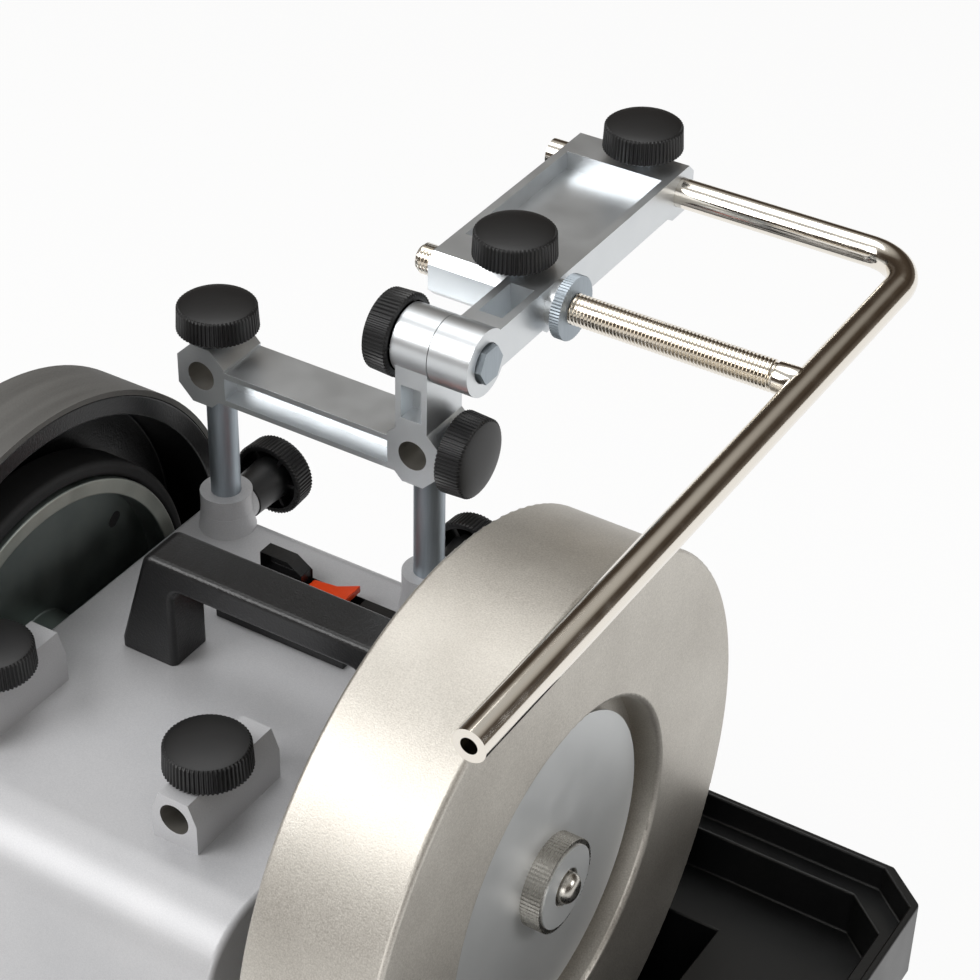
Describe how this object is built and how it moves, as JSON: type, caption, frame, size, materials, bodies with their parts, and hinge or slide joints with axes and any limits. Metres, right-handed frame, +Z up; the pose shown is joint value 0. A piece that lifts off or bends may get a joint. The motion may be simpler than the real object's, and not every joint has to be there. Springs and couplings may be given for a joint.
{
  "type": "wet grinding sharpener",
  "caption": "Bench wet grinder with a wide grinding wheel in a water trough, a leather honing wheel, and a sliding, tilting base that holds a bent tool rest.",
  "frame": {"origin": "on the bench under the middle of the overall box", "axes": "+X along the spindle towards the grinding wheel, +Y to the back, +Z up"},
  "size_m": [0.355, 0.3792, 0.3726],
  "materials": {
    "painted_casting": "fine satin silver paint over a die casting",
    "black_plastic": "black moulded plastic with a fine grain",
    "base_plastic": "black moulded base",
    "red_plastic": "glossy orange-red rocker",
    "rubber": "black rubber",
    "die_cast": "satin die casting with bright edges",
    "chrome": "polished chrome plate",
    "zinc_steel": "zinc-plated steel",
    "ground_steel": "ground stainless steel",
    "grit_steel": "steel wheel body with a fine grit coat",
    "label_metal": "satin aluminium disc",
    "leather": "worn leather",
    "bronze": "bearing bronze",
    "motor_iron": "lacquered laminated iron",
    "copper_aluminium": "cast end shields"
  },
  "bodies": {
    "machine": {"top_casting": "painted_casting", "base_housing": "base_plastic", "bottom_plate": "zinc_steel", "rubber_feet": "rubber", "foot_screws": "zinc_steel", "carry_handle": "black_plastic", "handle_screws": "zinc_steel", "switch_bezel": "black_plastic", "switch_body": "black_plastic", "shaft_bushes": "bronze", "motor_stator": "motor_iron", "motor_end_shields": "copper_aluminium", "motor_cradle": "zinc_steel", "start_capacitor": "black_plastic", "cord_inlet": "black_plastic", "trough_rail": "zinc_steel"},
    "rocker": {"switch_rocker": "red_plastic"},
    "spindle": {"main_shaft": "ground_steel", "grinding_wheel": "grit_steel", "wheel_washer": "zinc_steel", "wheel_face_disc": "label_metal", "drive_wheel": "die_cast", "friction_ring": "rubber", "honing_wheel": "black_plastic", "leather_strap": "leather", "honing_nut": "black_plastic"},
    "wheel_nut": {"quick_nut": "ground_steel", "quick_nut_plate": "label_metal"},
    "rotor": {"motor_rotor": "ground_steel"},
    "trough": {"water_trough": "black_plastic", "trough_magnet": "motor_iron"},
    "support_base": {"base_beam": "die_cast", "base_legs": "zinc_steel"},
    "pivot_arm": {"pivot_plate": "die_cast", "pivot_bolt": "zinc_steel"},
    "adjuster": {"adjusting_nut": "zinc_steel"},
    "tool_support": {"support_bar": "chrome", "threaded_leg": "chrome"},
    "pivot_clamp": {"pivot_knob": "black_plastic"},
    "front_left_clamp": {"front_left_knob": "black_plastic", "front_left_stud": "zinc_steel"},
    "front_right_clamp": {"front_right_knob": "black_plastic", "front_right_stud": "zinc_steel"},
    "rear_left_clamp": {"rear_left_knob": "black_plastic", "rear_left_stud": "zinc_steel"},
    "rear_right_clamp": {"rear_right_knob": "black_plastic", "rear_right_stud": "zinc_steel"},
    "beam_left_clamp": {"beam_left_knob": "black_plastic", "beam_left_stud": "zinc_steel"},
    "beam_right_clamp": {"beam_right_knob": "black_plastic", "beam_right_stud": "zinc_steel"},
    "plate_near_clamp": {"plate_near_knob": "black_plastic", "plate_near_stud": "zinc_steel"},
    "plate_far_clamp": {"plate_far_knob": "black_plastic", "plate_far_stud": "zinc_steel"}
  },
  "joints": [
    {"name": "rotor_spin", "type": "hinge", "parent": "machine", "child": "rotor", "pos_m": [-0.0695, -0.02565, 0.1174], "axis": [1, 0, 0], "continuous": true},
    {"name": "spindle_spin", "type": "hinge", "parent": "machine", "child": "spindle", "pos_m": [-0.0695, -0.05065, 0.2], "axis": [1, 0, 0], "continuous": true},
    {"name": "wheel_nut_turn", "type": "hinge", "parent": "spindle", "child": "wheel_nut", "pos_m": [-0.0695, -0.05065, 0.2], "axis": [1, 0, 0], "range_deg": [0, 90]},
    {"name": "rocker_tilt", "type": "hinge", "parent": "machine", "child": "rocker", "pos_m": [-0.0535, -0.05065, 0.2257], "axis": [0, 1, 0], "range_deg": [0, 17]},
    {"name": "trough_lower", "type": "slide", "parent": "machine", "child": "trough", "axis": [0, 0, -1], "range_m": [0, 0.04]},
    {"name": "base_height", "type": "slide", "parent": "machine", "child": "support_base", "axis": [0, 0, 1], "range_m": [-0.03, 0.04]},
    {"name": "arm_tilt", "type": "hinge", "parent": "support_base", "child": "pivot_arm", "pos_m": [-0.0695, 0.02985, 0.3436], "axis": [1, 0, 0], "range_deg": [-35, 35]},
    {"name": "adjuster_turn", "type": "hinge", "parent": "pivot_arm", "child": "adjuster", "pos_m": [-0.0695, 0.07784, 0.34446], "axis": [1, 0, 0], "range_deg": [-760, 6520]},
    {"name": "support_slide", "type": "slide", "parent": "pivot_arm", "child": "tool_support", "axis": [1, 0, 0], "range_m": [-0.003, 0.027]},
    {"name": "pivot_clamp_turn", "type": "hinge", "parent": "support_base", "child": "pivot_clamp", "pos_m": [-0.0305, 0.02985, 0.3436], "axis": [1, 0, 0], "range_deg": [0, 360]},
    {"name": "front_left_clamp_turn", "type": "hinge", "parent": "machine", "child": "front_left_clamp", "pos_m": [-0.1175, -0.10815, 0.2455], "axis": [0, 0, 1], "range_deg": [0, 360]},
    {"name": "front_right_clamp_turn", "type": "hinge", "parent": "machine", "child": "front_right_clamp", "pos_m": [-0.0215, -0.10815, 0.2455], "axis": [0, 0, 1], "range_deg": [0, 360]},
    {"name": "rear_left_clamp_turn", "type": "hinge", "parent": "machine", "child": "rear_left_clamp", "pos_m": [-0.1175, 0.04535, 0.23], "axis": [0, 1, 0], "range_deg": [0, 360]},
    {"name": "rear_right_clamp_turn", "type": "hinge", "parent": "machine", "child": "rear_right_clamp", "pos_m": [-0.0215, 0.04535, 0.23], "axis": [0, 1, 0], "range_deg": [0, 360]},
    {"name": "beam_left_clamp_turn", "type": "hinge", "parent": "support_base", "child": "beam_left_clamp", "pos_m": [-0.1175, 0.02985, 0.3142], "axis": [0, 0, 1], "range_deg": [0, 360]},
    {"name": "beam_right_clamp_turn", "type": "hinge", "parent": "support_base", "child": "beam_right_clamp", "pos_m": [-0.0105, 0.02985, 0.3014], "axis": [1, 0, 0], "range_deg": [0, 360]},
    {"name": "plate_near_clamp_turn", "type": "hinge", "parent": "pivot_arm", "child": "plate_near_clamp", "pos_m": [-0.0159, 0.07768, 0.35346], "axis": [0, -0.018, 0.9998], "range_deg": [0, 360]},
    {"name": "plate_far_clamp_turn", "type": "hinge", "parent": "pivot_arm", "child": "plate_far_clamp", "pos_m": [-0.0159, 0.17367, 0.35519], "axis": [0, -0.018, 0.9998], "range_deg": [0, 360]}
  ],
  "couplings": [
    {"joint": "spindle_spin", "follows": "rotor_spin", "ratio": -0.064815},
    {"joint": "adjuster_turn", "follows": "support_slide", "rad_per_m": 4188.8}
  ]
}
